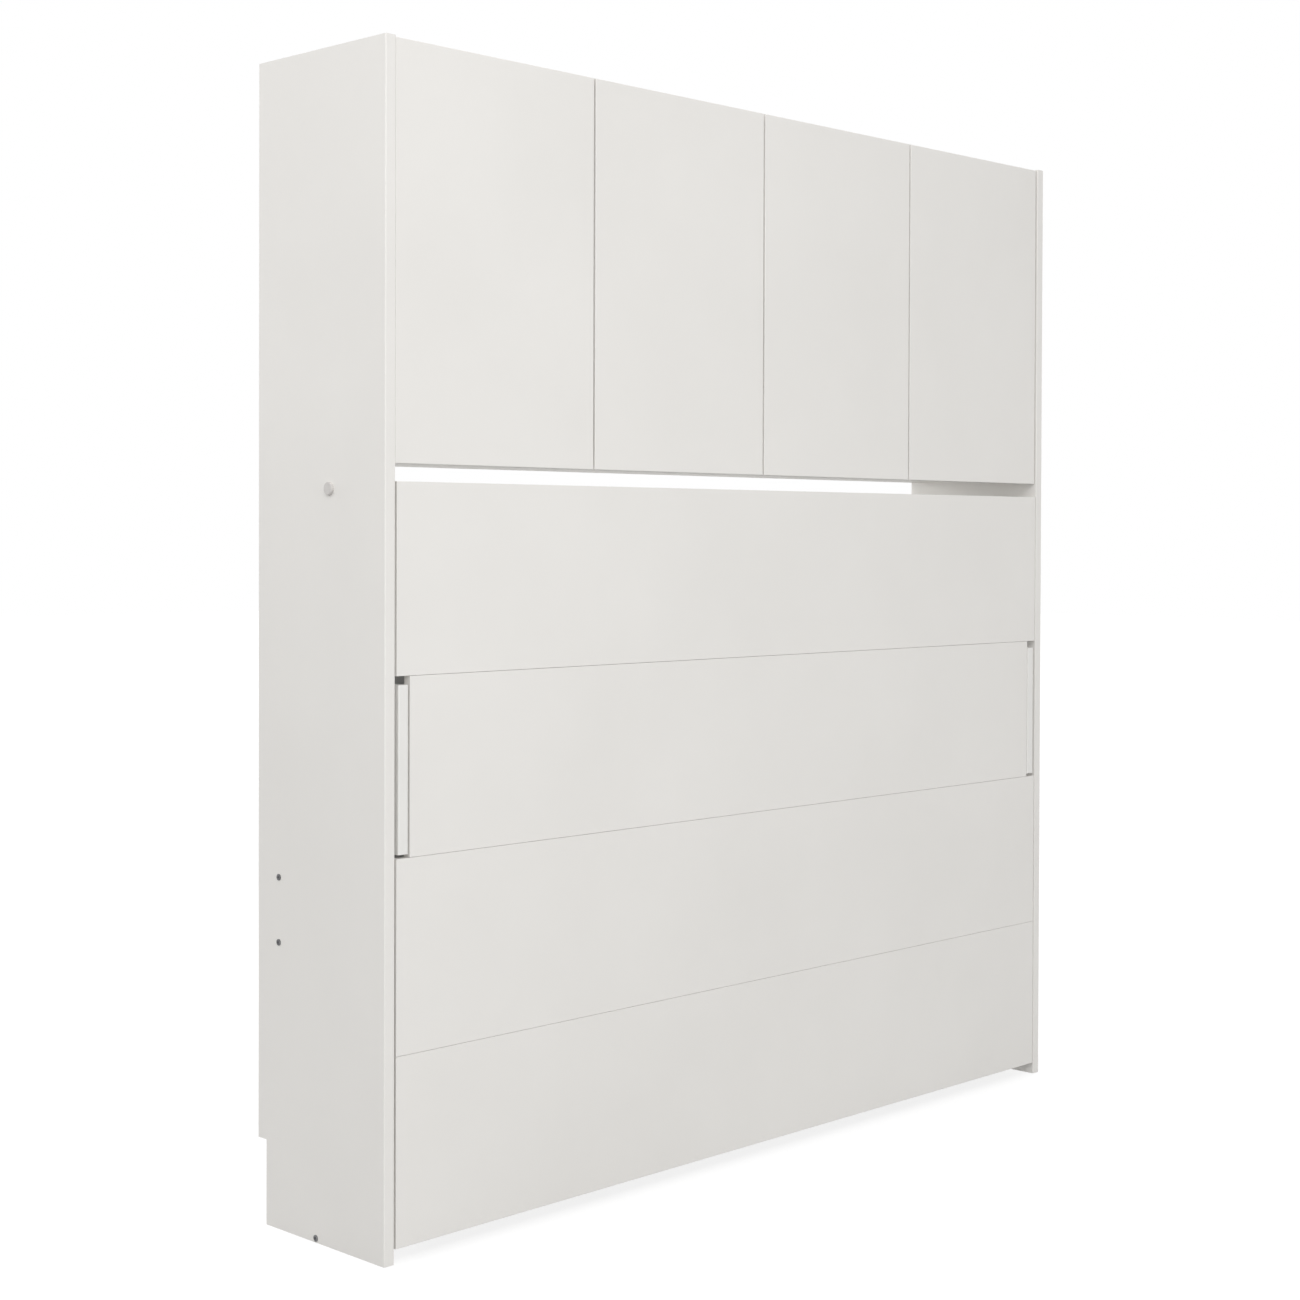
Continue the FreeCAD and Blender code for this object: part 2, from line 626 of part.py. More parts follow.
def make_hinges():
    """Arms, pins and mounting plates of the cup hinges, which stay on the case."""
    arms = []
    pins = []
    plates = []
    bend = "(arm_thickness / 2)"
    crank = "(door_setback + arm_crank_depth)"
    for number, edge, face in ((1, DOOR_1_EDGE, f"(-{INNER})"), (3, DOOR_3_EDGE, "(case_thickness / 2)")):
        pin_x = f"({edge} + hinge_pin_inset)"
        neck_x = f"({pin_x} + arm_offset)"
        arm_x = f"({face} + hinge_plate_thickness)"
        for i, z in enumerate(HINGE_HEIGHTS):
            name = f"hinge_{number}_{i}"
            tall = (f"{z} - arm_width / 2", f"{z} + arm_width / 2")
            runs = [
                box(name + "_root", (pin_x, f"{neck_x} + {bend}"),
                    (f"{HINGE_PIN} - {bend}", f"{HINGE_PIN} + {bend}"), tall),
                box(name + "_neck", (f"{neck_x} - {bend}", f"{neck_x} + {bend}"),
                    (f"{HINGE_PIN} - {bend}", f"{crank} + {bend}"), tall),
                box(name + "_crank", (arm_x, f"{neck_x} + {bend}"),
                    (f"{crank} - {bend}", f"{crank} + {bend}"), tall),
                box(name + "_tail", (arm_x, f"{arm_x} + arm_thickness"),
                    (f"{crank} - {bend}", f"{crank} + arm_length"), tall),
                round_bar(name + "_eye", "z", "hinge_eye_radius", tall, (pin_x, HINGE_PIN)),
            ]
            bore = round_bar(
                name + "_bore", "z", "hinge_pin_radius + running_clearance",
                (f"{tall[0]} - part_gap", f"{tall[1]} + part_gap"), (pin_x, HINGE_PIN))
            arms.append(cut(name + "_arm", fuse(name + "_strip", runs), [bore]))
            offset = "(cup_inset - hinge_pin_inset + hinge_pin_radius)"
            reach = f"sqrt((cup_radius - hole_clearance) ^ 2 - {offset} ^ 2)"
            pins.append(round_bar(
                name + "_pin", "z", "hinge_pin_radius", (f"{z} - {reach}", f"{z} + {reach}"),
                (pin_x, HINGE_PIN)))
            plates.append(box(
                name + "_plate", (face, arm_x), (f"{crank} - {bend}", f"{crank} + arm_length"),
                (f"{z} - hinge_plate_height / 2", f"{z} + hinge_plate_height / 2")))
    for label, parts in (("hinge_arms", arms), ("hinge_pins", pins), ("hinge_plates", plates)):
        keep_both(label, group(label + "_half", parts))

    bumpers = []
    heights = (f"({CUPBOARD_FLOOR} + case_thickness / 2)", "(overall_height - case_thickness / 2)")
    for number, edge in ((1, DOOR_1_EDGE), (3, DOOR_3_EDGE)):
        for i, z in enumerate(heights):
            bumpers.append(round_bar(
                f"bumper_{number}_{i}", "y", "bumper_radius", (f"{DOOR_BACK} + part_gap", CASE_FRONT),
                (f"({edge} + {DOOR_WIDTH} - bumper_inset)", z)))
    keep_both("door_bumpers", group("door_bumpers_half", bumpers))


def make_bed_front():
    front = -float(sheet.get("overall_depth")) / 2
    full = f"({INNER} - front_gap)"
    short = f"({INNER} - front_gap - leg_slot_width)"
    rows = (
        (1, full, BOARD_1_LOW, BOARD_1_TOP),
        (2, short, BOARD_2_LOW, BOARD_2_TOP),
        (3, full, BOARD_3_LOW, BOARD_3_TOP),
        (4, full, "floor_clearance", BOARD_4_TOP),
    )
    tie_back = "(front_thickness + tie_depth)"
    bite = "(front_thickness - board_screw_bite)"
    screws = []
    holes = []
    for number, reach, low, high in rows:
        name = f"front_board_{number}"
        slab = box(name + "_slab", (f"-{reach}", reach), ("0", "front_thickness"), (low, high))
        soft = rounded(name + "_soft", slab, [("board_edge_radius", front_edges(front))])
        row_holes = []
        for side in "+-":
            for i, z in enumerate((f"({low} + board_screw_edge)", f"({high} - board_screw_edge)")):
                part = f"{name}_screw_{'right' if side == '+' else 'left'}_{i}"
                at = (f"({side} tie_spread / 2)", z)
                shank = round_bar(part + "_shank", "y", "board_screw_radius", (bite, tie_back), at)
                head = round_bar(
                    part + "_head", "y", "board_screw_head_radius",
                    (tie_back, f"{tie_back} + board_screw_head_height"), at)
                screws.append(fuse(part, [shank, head]))
                row_holes.append(round_bar(
                    part + "_hole", "y", "board_screw_radius + hole_clearance",
                    (f"{bite} - hole_clearance", f"{tie_back} + part_gap"), at))
        keep(name, cut(name, soft, row_holes))
        holes += row_holes
    keep("board_screws", group("board_screws", screws))
    return holes


def tube(name, x, depth, z, axis):
    """Rectangular steel tube with open ends along the given axis."""
    spans = {"x": x, "y": depth, "z": z}
    inside = {key: (f"{low} + tube_wall", f"{high} - tube_wall") for key, (low, high) in spans.items()}
    inside[axis] = (f"{spans[axis][0]} - part_gap", f"{spans[axis][1]} + part_gap")
    outer = box(name + "_outer", x, depth, z)
    return cut(name, outer, [box(name + "_inside", inside["x"], inside["y"], inside["z"])])


def make_bed_frame(screw_holes):
    deep = ("front_thickness", RAIL_BACK)
    rail_low = (GUARD_LOW, f"({GUARD_LOW} + rail_height)")
    rail_high = (f"({GUARD_HIGH} - rail_height)", GUARD_HIGH)
    middle = (f"({MID_HEIGHT} - rail_height / 2)", f"({MID_HEIGHT} + rail_height / 2)")
    across = (f"-{END_OUTER}", END_OUTER)
    keep("frame_rail_lower", tube("frame_rail_lower", across, deep, rail_low, "x"))
    keep("frame_rail_upper", tube("frame_rail_upper", across, deep, rail_high, "x"))
    between = (rail_low[1], rail_high[0])
    keep_pair("frame_end", tube("frame_end_right", (END_INNER, END_OUTER), deep, between, "z"))
    inset = "(tube_wall + hole_clearance)"
    caps = []
    for name, (low, high) in (("low", rail_low), ("high", rail_high)):
        caps.append(box(
            f"rail_cap_{name}", (f"{END_OUTER} - rail_cap_length", END_OUTER),
            (f"{deep[0]} + {inset}", f"{deep[1]} - {inset}"), (f"{low} + {inset}", f"{high} - {inset}")))
    keep_both("frame_caps", group("caps_right", caps))
    keep("frame_centre_rail", tube("frame_centre_rail", (f"-{END_INNER}", END_INNER), deep, middle, "x"))
    ties = []
    tie_x = ("tie_spread / 2 - tie_width / 2", "tie_spread / 2 + tie_width / 2")
    tie_deep = ("front_thickness", "front_thickness + tie_depth")
    for name, span in (("low", (rail_low[1], middle[0])), ("high", (middle[1], rail_high[0]))):
        right = tube("tie_" + name, tie_x, tie_deep, span, "z")
        ties += [right, mirrored(f"tie_{name}_left", right)]
    keep("frame_ties", cut("frame_ties", group("tie_tubes", ties), screw_holes))

    slats = []
    count = int(float(sheet.get("slat_count")))
    guard_inner_low = f"({GUARD_LOW} + guard_thickness)"
    guard_inner_high = f"({GUARD_HIGH} - guard_thickness)"
    for i in range(count):
        x = f"({MATTRESS_HALF} * ({2 * i + 1} / slat_count - 1))"
        slats.append(box(
            f"slat_{i}", (f"{x} - slat_width / 2", f"{x} + slat_width / 2"), (RAIL_BACK, SLAT_BACK),
            (f"{guard_inner_low} + slat_end_gap", f"{guard_inner_high} - slat_end_gap")))
    keep("slats", group("slats", slats))

    guard_deep = (RAIL_BACK, GUARD_BACK)
    keep("guard_sides", group("guard_sides", [
        box("guard_lower", across, guard_deep, (GUARD_LOW, guard_inner_low)),
        box("guard_upper", across, guard_deep, (guard_inner_high, GUARD_HIGH)),
    ]))
    end = box(
        "guard_end", (f"{END_OUTER} - guard_thickness", END_OUTER), guard_deep,
        (guard_inner_low, guard_inner_high))
    keep_both("guard_ends", end)


def make_mattress():
    block = box(
        "mattress_block", (f"-{MATTRESS_HALF}", MATTRESS_HALF), (f"{SLAT_BACK} + part_gap", MATTRESS_BACK),
        (MATTRESS_LOW, MATTRESS_HIGH))
    corners = rounded("mattress_corners", block, [
        ("mattress_corner_radius", lambda edge: edge.XLength < 0.01 and edge.ZLength < 0.01),
    ])
    keep("mattress", rounded("mattress", corners, [
        ("mattress_edge_radius", lambda edge: edge.YLength < 0.01),
    ]))

    turn = "mattress_edge_radius"
    back = f"({MATTRESS_BACK} + strap_gap)"
    top = [
        (f"({GUARD_BACK} - strap_tail)", GUARD_HIGH),
        (GUARD_BACK, GUARD_HIGH),
        (f"({back} - {turn} / 2)", f"({MATTRESS_HIGH} + strap_gap)"),
        (back, f"({MATTRESS_HIGH} - {turn} / 2)"),
    ]
    outer = [
        (top[0][0], f"({GUARD_HIGH} + strap_thickness)"),
        (GUARD_BACK, f"({GUARD_HIGH} + strap_thickness)"),
        (f"({back} - {turn} / 2 + strap_thickness / 2)", f"({MATTRESS_HIGH} + strap_gap + strap_thickness)"),
        (f"({back} + strap_thickness)", f"({MATTRESS_HIGH} - {turn} / 2 + strap_thickness / 2)"),
    ]
    flip = [(depth, f"(2 * {MID_HEIGHT} - {height})") for depth, height in top]
    outer_flip = [(depth, f"(2 * {MID_HEIGHT} - {height})") for depth, height in outer]
    outline = top + flip[::-1] + outer_flip + outer[::-1]
    strap = side_profile("strap", outline, "strap_spread / 2 - strap_width / 2", "strap_width")
    keep_both("mattress_straps", strap)

    wide = ("strap_spread / 2 - buckle_width / 2", "strap_spread / 2 + buckle_width / 2")
    face = f"({back} + strap_thickness)"
    deep = (face, f"{face} + buckle_thickness")
    z = f"({MATTRESS_HIGH} - buckle_drop)"
    frame = box("buckle_frame", wide, deep, (f"{z} - buckle_height / 2", f"{z} + buckle_height / 2"))
    slot_x = (f"{wide[0]} + buckle_bar", f"{wide[1]} - buckle_bar")
    slot_deep = (f"{face} - part_gap", f"{face} + buckle_thickness + part_gap")
    slots = [
        box(f"buckle_slot_{name}", slot_x, slot_deep, (f"{z} + {low}", f"{z} + {high}"))
        for name, low, high in (
            ("low", "buckle_bar - buckle_height / 2", "(0 - buckle_bar / 2)"),
            ("high", "buckle_bar / 2", "buckle_height / 2 - buckle_bar"),
        )
    ]
    keep_both("strap_buckles", cut("strap_buckle", frame, slots))


def bracket_screw(name, at):
    """Screw with a sunk cheese head, driven outwards into the right side panel."""
    head_end = f"({FLANGE_FACE} + screw_head_height)"
    shank = round_bar(name + "_shank", "x", "screw_radius", (head_end, f"{FLANGE_FACE} + screw_length"), at)
    head = round_bar(name + "_head", "x", "screw_head_radius", (FLANGE_FACE, head_end), at)
    return fuse(name, [shank, head])


def screw_holes(name, places):
    """Stepped holes for bracket screws through a plate on the right side panel."""
    holes = []
    for i, at in enumerate(places):
        through = round_bar(
            f"{name}_{i}_through", "x", "screw_radius + hole_clearance",
            (f"{FLANGE_FACE} - part_gap", f"{INNER} + part_gap"), at)
        sink = round_bar(
            f"{name}_{i}_sink", "x", "screw_head_radius + hole_clearance",
            (f"{FLANGE_FACE} - part_gap", f"{FLANGE_FACE} + screw_head_height"), at)
        holes.append(fuse(f"{name}_{i}", [through, sink]))
    return holes


def make_pivots():
    at = ("pivot_depth", PIVOT_HEIGHT)
    flange = box(
        "pivot_flange", (FLANGE_FACE, INNER), ("pivot_depth - flange_front", "pivot_depth + flange_back"),
        (f"{PIVOT_HEIGHT} - flange_rise", f"{PIVOT_HEIGHT} + flange_rise"))
    collar_end = f"({BOSS_FACE} + part_gap)"
    collar = round_bar("pivot_collar", "x", "pivot_collar_radius", (collar_end, FLANGE_FACE), at)
    stud = round_bar("pivot_stud", "x", "pivot_stud_radius", (f"{END_OUTER} + part_gap", collar_end), at)
    bored = cut("pivot_flange_bored", flange, screw_holes("pivot_screw_hole", FLANGE_SCREWS))
    keep_both("pivot_brackets", fuse("pivot_bracket", [bored, collar, stud]))

    bush_radius = "(pivot_stud_radius + running_clearance + bush_wall)"
    span = (f"{END_OUTER} + part_gap", BOSS_FACE)
    bush = cut(
        "pivot_bush", round_bar("bush_outer", "x", bush_radius, span, at),
        [round_bar("bush_bore", "x", "pivot_stud_radius + running_clearance",
                   (END_OUTER, f"{BOSS_FACE} + part_gap"), at)])
    keep_both("pivot_bushes", bush)

    front = "front_thickness + tube_wall"
    low = f"({CRANK_HEIGHT} - swing_plate_margin)"
    back = f"({CRANK_DEPTH} + swing_plate_margin)"
    waist = f"({RAIL_BACK} + swing_plate_margin)"
    outline = [
        (front, low),
        (back, low),
        (back, f"({CRANK_HEIGHT} + swing_plate_margin)"),
        (waist, f"({PIVOT_HEIGHT} - pivot_boss_radius - swing_plate_margin)"),
        (waist, f"({PIVOT_HEIGHT} + pivot_boss_radius)"),
        (RAIL_BACK, f"({PIVOT_HEIGHT} + swing_plate_rise)"),
        (front, f"({PIVOT_HEIGHT} + swing_plate_rise)"),
    ]
    plate = side_profile(
        "swing_plate_sheet", outline, END_OUTER, "swing_plate_thickness",
        ("swing_plate_radius", lambda edge: edge.YLength < 0.01 and edge.ZLength < 0.01))
    boss = round_bar("pivot_boss", "x", "pivot_boss_radius", (PLATE_FACE, BOSS_FACE), at)
    bore = round_bar(
        "pivot_boss_bore", "x", f"{bush_radius} + running_clearance",
        (f"{END_OUTER} - part_gap", f"{BOSS_FACE} + part_gap"), at)
    stud_end = f"({STRUT_X} - strut_eye_width / 2 - open_pivot_gap)"
    stud = round_bar(
        "crank_stud", "x", "strut_shoulder_radius", (PLATE_FACE, stud_end), (CRANK_DEPTH, CRANK_HEIGHT))
    keep_both("swing_plates", cut("swing_plate", fuse("swing_plate_body", [plate, boss, stud]), [bore]))


def make_struts():
    at = (ANCHOR_DEPTH, ANCHOR_HEIGHT)
    plate = box(
        "strut_plate", (FLANGE_FACE, INNER),
        (f"{ANCHOR_DEPTH} - strut_bracket_width / 2", f"{ANCHOR_DEPTH} + strut_bracket_width / 2"),
        (f"{ANCHOR_HEIGHT} - strut_bracket_height / 2", f"{ANCHOR_HEIGHT} + strut_bracket_height / 2"))
    bored = cut("strut_plate_bored", plate, screw_holes("strut_screw_hole", STRUT_SCREWS))
    eye_out = f"({STRUT_X} + strut_eye_width / 2 + part_gap)"
    eye_in = f"({STRUT_X} - strut_eye_width / 2 - part_gap)"
    shoulder = round_bar("strut_shoulder", "x", "strut_shoulder_radius", (eye_out, FLANGE_FACE), at)
    stud = round_bar("strut_stud", "x", "strut_stud_radius", (eye_in, eye_out), at)
    cap = round_bar(
        "strut_cap", "x", "strut_shoulder_radius", (f"{eye_in} - strut_cap_thickness", eye_in), at)
    keep_both("strut_brackets", fuse("strut_bracket", [bored, shoulder, stud, cap]))
    places = list(enumerate(FLANGE_SCREWS + STRUT_SCREWS))
    screws = [bracket_screw(f"bracket_screw_{i}", at) for i, at in places]
    keep_both("bracket_screws", group("screws_right", screws))

    # The strut is drawn hanging straight down from its anchor and then leant over to the crank stud.
    middle = "overall_depth / 2"
    eye_x = ("(0 - strut_eye_width / 2)", "(strut_eye_width / 2)")
    down = lambda start, end: (f"(0 - {end})", f"(0 - {start})")
    axis = ("0", middle)
    tube_parts = fuse("strut_tube_body", [
        round_bar("strut_barrel", "z", "strut_tube_radius", down("strut_tube_start", STRUT_TUBE_END), axis),
        round_bar("strut_neck", "z", "strut_neck_radius", down("0", "strut_tube_start"), axis),
        round_bar("strut_tube_eye", "x", "strut_eye_radius", eye_x, (middle, "0")),
    ])
    hollow = fuse("strut_hollow", [
        round_bar("strut_bore", "z", "strut_tube_bore",
                  down("(strut_tube_start * 2)", f"({STRUT_TUBE_END} - strut_guide_length)"), axis),
        round_bar("strut_guide", "z", "strut_rod_radius + running_clearance",
                  down("(strut_tube_start * 2)", f"({STRUT_TUBE_END} + part_gap)"), axis),
    ])
    eye_bore = round_bar(
        "strut_eye_bore", "x", "strut_stud_radius + running_clearance",
        (f"{eye_x[0]} - part_gap", f"{eye_x[1]} + part_gap"), (middle, "0"))
    tube_solid = cut("strut_tube_solid", tube_parts, [hollow, eye_bore])

    rod_start = f"({STRUT_TUBE_END} - strut_rod_hold)"
    rod_solid = fuse("strut_rod_solid", [
        round_bar("strut_rod_bar", "z", "strut_rod_radius", down(rod_start, STRUT_LENGTH), axis),
        round_bar("strut_piston", "z", "strut_tube_bore - hole_clearance",
                  down(f"({rod_start} - strut_piston_length)", rod_start), axis),
        round_bar("strut_rod_eye", "x", "strut_eye_radius", eye_x, (middle, f"(0 - {STRUT_LENGTH})")),
        round_bar("strut_rod_bolt", "x", "strut_shoulder_radius",
                  (eye_x[1], f"{eye_x[1]} + strut_cap_thickness"), (middle, f"(0 - {STRUT_LENGTH})")),
    ])
    for label, solid in (("strut_tube", tube_solid), ("strut_rod", rod_solid)):
        leant = group(label + "_right", [solid])
        leant.Placement = FreeCAD.Placement(FreeCAD.Vector(), FreeCAD.Rotation(FreeCAD.Vector(1, 0, 0), -1))
        leant.setExpression("Placement.Rotation.Angle", bind(f"-atan({STRUT_RUN} / {STRUT_FALL})"))
        place(leant, STRUT_X, ANCHOR_DEPTH, ANCHOR_HEIGHT)
        keep_pair(label, leant)


def make_legs():
    wide = (f"({LEG_X} - leg_width / 2)", f"({LEG_X} + leg_width / 2)")
    deep = ("0", "leg_depth")
    pin = ("leg_pin_depth", LEG_PIN_HEIGHT)
    foot_top = f"({LEG_LOW} + foot_height)"
    bar = box("leg_bar", wide, deep, (foot_top, f"{LEG_PIN_HEIGHT} + leg_head"))
    soft = rounded("leg_soft", bar, [("leg_edge_radius", upright)])
    inside = box(
        "leg_inside", (f"{wide[0]} + leg_wall", f"{wide[1]} - leg_wall"),
        ("leg_wall", "leg_depth - leg_wall"),
        (f"{foot_top} - part_gap", f"{LEG_PIN_HEIGHT} - leg_head"))
    bore = round_bar(
        "leg_bore", "x", "leg_pin_radius + running_clearance",
        (f"{wide[0]} - part_gap", f"{wide[1]} + part_gap"), pin)
    keep_pair("leg", cut("leg_right", soft, [inside, bore]))

    block = box("foot_block", wide, deep, (LEG_LOW, foot_top))
    pad = rounded("foot_pad", block, [("leg_edge_radius", upright)])
    gap = "leg_wall + hole_clearance"
    plug = box(
        "foot_plug_block", (f"{wide[0]} + {gap}", f"{wide[1]} - ({gap})"), (gap, f"leg_depth - ({gap})"),
        (foot_top, f"{foot_top} + foot_plug"))
    keep_pair("leg_foot", fuse("leg_foot_right", [pad, plug]))

    inner = f"({wide[0]} - part_gap)"
    outer = f"({wide[1]} + part_gap)"
    keep_both("leg_pins", fuse("leg_pin", [
        round_bar("leg_shoulder", "x", "leg_shoulder_radius", (END_OUTER, inner), pin),
        round_bar("leg_axle", "x", "leg_pin_radius", (inner, outer), pin),
        round_bar("leg_pin_head", "x", "leg_pin_head_radius", (outer, f"{outer} + leg_pin_head_height"), pin),
    ]))


def make_stops():
    wide = (f"{INNER} - stop_width", INNER)
    top = f"({BOARD_1_TOP} - stop_top_drop)"
    tall = (f"{top} - stop_height", top)
    face = "(front_thickness + part_gap + buffer_thickness)"
    keep_both("closing_stops", box("closing_stop", wide, (face, f"{face} + stop_depth"), tall))
    keep_both("stop_buffers", box("stop_buffer", wide, ("front_thickness + part_gap", face), tall))


make_side_panels()
make_case()
make_doors()
make_hinges()
make_bed_frame(make_bed_front())
make_mattress()
make_pivots()
make_struts()
make_legs()
make_stops()
doc.recompute()

faults = [item.Name for item in doc.Objects if {"Invalid", "Error"} & set(item.State)]
for label, part in nodes.items():
    if part.Shape.isNull() or not part.Shape.isValid() or not part.Shape.Solids:
        faults.append(label)
if faults:
    raise RuntimeError("not built: " + ", ".join(faults))

os.makedirs("parts", exist_ok=True)
for label, part in nodes.items():
    solids = part.Shape.Solids
    shape = solids[0] if len(solids) == 1 else Part.makeCompound(solids)
    shape.exportStep(f"parts/{label}.step")
print(len(nodes), "sub-parts written")
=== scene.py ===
import json
import math

import bmesh
import bpy
from mathutils import Matrix, Vector


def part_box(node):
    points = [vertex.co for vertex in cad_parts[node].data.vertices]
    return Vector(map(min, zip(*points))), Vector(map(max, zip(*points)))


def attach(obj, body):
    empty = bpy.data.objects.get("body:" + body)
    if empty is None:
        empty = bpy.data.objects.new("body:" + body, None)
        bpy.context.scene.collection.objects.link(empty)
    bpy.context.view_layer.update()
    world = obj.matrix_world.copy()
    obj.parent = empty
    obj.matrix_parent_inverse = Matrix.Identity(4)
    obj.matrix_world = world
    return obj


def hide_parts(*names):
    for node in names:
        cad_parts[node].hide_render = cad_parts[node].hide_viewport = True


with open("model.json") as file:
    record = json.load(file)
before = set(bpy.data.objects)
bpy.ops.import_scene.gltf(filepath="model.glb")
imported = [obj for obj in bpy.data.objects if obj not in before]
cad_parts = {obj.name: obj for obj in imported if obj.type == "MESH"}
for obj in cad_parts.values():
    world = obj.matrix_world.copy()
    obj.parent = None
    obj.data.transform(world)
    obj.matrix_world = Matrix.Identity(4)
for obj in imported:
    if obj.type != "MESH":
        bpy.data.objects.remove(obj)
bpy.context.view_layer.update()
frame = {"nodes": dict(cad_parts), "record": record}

scene = bpy.context.scene
print("frame loaded:", len(frame["nodes"]), "nodes")


def startFinish(name, look):  # a material with its plain numbers on the shader's own sockets
    material = bpy.data.materials.new(name)
    material.use_nodes = True
    tree = material.node_tree
    shader = tree.nodes["Principled BSDF"]
    for socket, value in look.items():
        shader.inputs[socket].default_value = value
    place = tree.nodes.new("ShaderNodeTexCoord").outputs["Object"]
    return material, tree, shader, place


def stretched(tree, place, scale):  # the same coordinates, drawn out along an axis
    mapping = tree.nodes.new("ShaderNodeMapping")
    mapping.inputs["Scale"].default_value = scale
    tree.links.new(place, mapping.inputs["Vector"])
    return mapping.outputs["Vector"]


def speckle(tree, place, scale, detail=3.0, rough=0.55):
    noise = tree.nodes.new("ShaderNodeTexNoise")
    noise.inputs["Scale"].default_value = scale
    noise.inputs["Detail"].default_value = detail
    noise.inputs["Roughness"].default_value = rough
    tree.links.new(place, noise.inputs["Vector"])
    return noise.outputs["Fac"]


def stripes(tree, place, direction, scale, distortion, detail):
    wave = tree.nodes.new("ShaderNodeTexWave")
    wave.bands_direction = direction
    wave.inputs["Scale"].default_value = scale
    wave.inputs["Distortion"].default_value = distortion
    wave.inputs["Detail"].default_value = detail
    tree.links.new(place, wave.inputs["Vector"])
    return wave.outputs["Fac"]


def tint(tree, shader, factor, dark, light, low=0.3, high=0.7):  # colour between two tones
    ramp = tree.nodes.new("ShaderNodeValToRGB")
    ramp.color_ramp.elements[0].position = low
    ramp.color_ramp.elements[1].position = high
    ramp.color_ramp.elements[0].color = (*dark, 1)
    ramp.color_ramp.elements[1].color = (*light, 1)
    tree.links.new(factor, ramp.inputs["Fac"])
    tree.links.new(ramp.outputs["Color"], shader.inputs["Base Color"])


def between(tree, factor, low, high):  # a value that runs from low to high with the factor
    spread = tree.nodes.new("ShaderNodeMapRange")
    spread.inputs["To Min"].default_value = low
    spread.inputs["To Max"].default_value = high
    tree.links.new(factor, spread.inputs["Value"])
    return spread


def gloss(tree, shader, factor, low, high):  # roughness between two values
    tree.links.new(between(tree, factor, low, high).outputs["Result"], shader.inputs["Roughness"])


def relief(tree, shader, factor, strength, depth):  # bump from a pattern
    bump = tree.nodes.new("ShaderNodeBump")
    bump.inputs["Strength"].default_value = strength
    bump.inputs["Distance"].default_value = depth
    tree.links.new(factor, bump.inputs["Height"])
    tree.links.new(bump.outputs["Normal"], shader.inputs["Normal"])


def blendOf(tree, first, second, kind):
    maths = tree.nodes.new("ShaderNodeMath")
    maths.operation = kind
    tree.links.new(first, maths.inputs[0])
    tree.links.new(second, maths.inputs[1])
    return maths.outputs["Value"]


boardLook = {"dark": (0.802, 0.785, 0.755), "light": (0.832, 0.815, 0.785), "grain": 700.0, "cloud": 2.2}
backLook = {"dark": (0.72, 0.70, 0.665), "light": (0.77, 0.755, 0.72), "fibre": (60, 60, 160)}
slatLook = {"dark": (0.47, 0.315, 0.165), "light": (0.66, 0.49, 0.30), "rings": 9.0, "fleck": (420, 420, 26)}
rodLook = {"dark": (0.70, 0.71, 0.72), "light": (0.78, 0.79, 0.80), "turning": (60, 60, 2600)}
tickingLook = {
    "dark": (0.69, 0.675, 0.635), "light": (0.80, 0.79, 0.755), "thread": 260.0, "slub": (30, 30, 220),
}
webbingLook = {"dark": (0.016, 0.016, 0.018), "light": (0.06, 0.06, 0.066), "ribs": 190.0, "cross": 240.0}


def whiteBoard(look):  # melamine-faced board with a fine pearl texture
    material, tree, shader, place = startFinish("whiteBoard", {"Specular IOR Level": 0.35})
    tint(tree, shader, speckle(tree, place, look["cloud"], detail=4.0), look["dark"], look["light"])
    pearl = speckle(tree, place, look["grain"], detail=2.0, rough=0.6)
    gloss(tree, shader, pearl, low=0.42, high=0.56)
    relief(tree, shader, pearl, strength=0.12, depth=0.0004)
    return material


def backBoard(look):  # thin hardboard, white on the inside, a little fibrous
    material, tree, shader, place = startFinish("backBoard", {"Specular IOR Level": 0.3})
    fibres = speckle(tree, stretched(tree, place, look["fibre"]), scale=4.0, detail=6.0, rough=0.7)
    tint(tree, shader, fibres, look["dark"], look["light"])
    gloss(tree, shader, fibres, low=0.55, high=0.7)
    relief(tree, shader, fibres, strength=0.15, depth=0.0005)
    return material


def slatWood(look):  # bare laminated beech, grain along the slat
    material, tree, shader, place = startFinish("slatWood", {"Specular IOR Level": 0.3})
    lengthwise = stretched(tree, place, (1.0, 1.0, 0.06))
    rings = stripes(tree, lengthwise, "X", look["rings"], distortion=9.0, detail=4.0)
    flecks = speckle(tree, stretched(tree, place, look["fleck"]), scale=1.0, detail=4.0, rough=0.7)
    grain = blendOf(tree, rings, flecks, "ADD")
    tint(tree, shader, grain, look["dark"], look["light"], low=0.25, high=1.35)
    gloss(tree, shader, flecks, low=0.45, high=0.68)
    relief(tree, shader, flecks, strength=0.2, depth=0.0004)
    return material


def powderCoat(name, dark, light, roughness):  # orange-peel paint on steel
    material, tree, shader, place = startFinish(name, {"Specular IOR Level": 0.5})
    peel = speckle(tree, place, scale=900.0, detail=2.0, rough=0.5)
    tint(tree, shader, speckle(tree, place, scale=14.0, detail=5.0), dark, light)
    gloss(tree, shader, peel, low=roughness - 0.06, high=roughness + 0.08)
    relief(tree, shader, peel, strength=0.18, depth=0.0003)
    return material


def zincSteel(name, dark, light):  # zinc plate with a faint brushed lay
    material, tree, shader, place = startFinish(name, {"Metallic": 1.0})
    lay = speckle(tree, stretched(tree, place, (1500, 220, 1500)), scale=1.0, rough=0.6)
    bloom = speckle(tree, place, scale=60.0, detail=4.0)
    tint(tree, shader, bloom, dark, light)
    gloss(tree, shader, lay, low=0.26, high=0.42)
    relief(tree, shader, lay, strength=0.06, depth=0.0002)
    return material


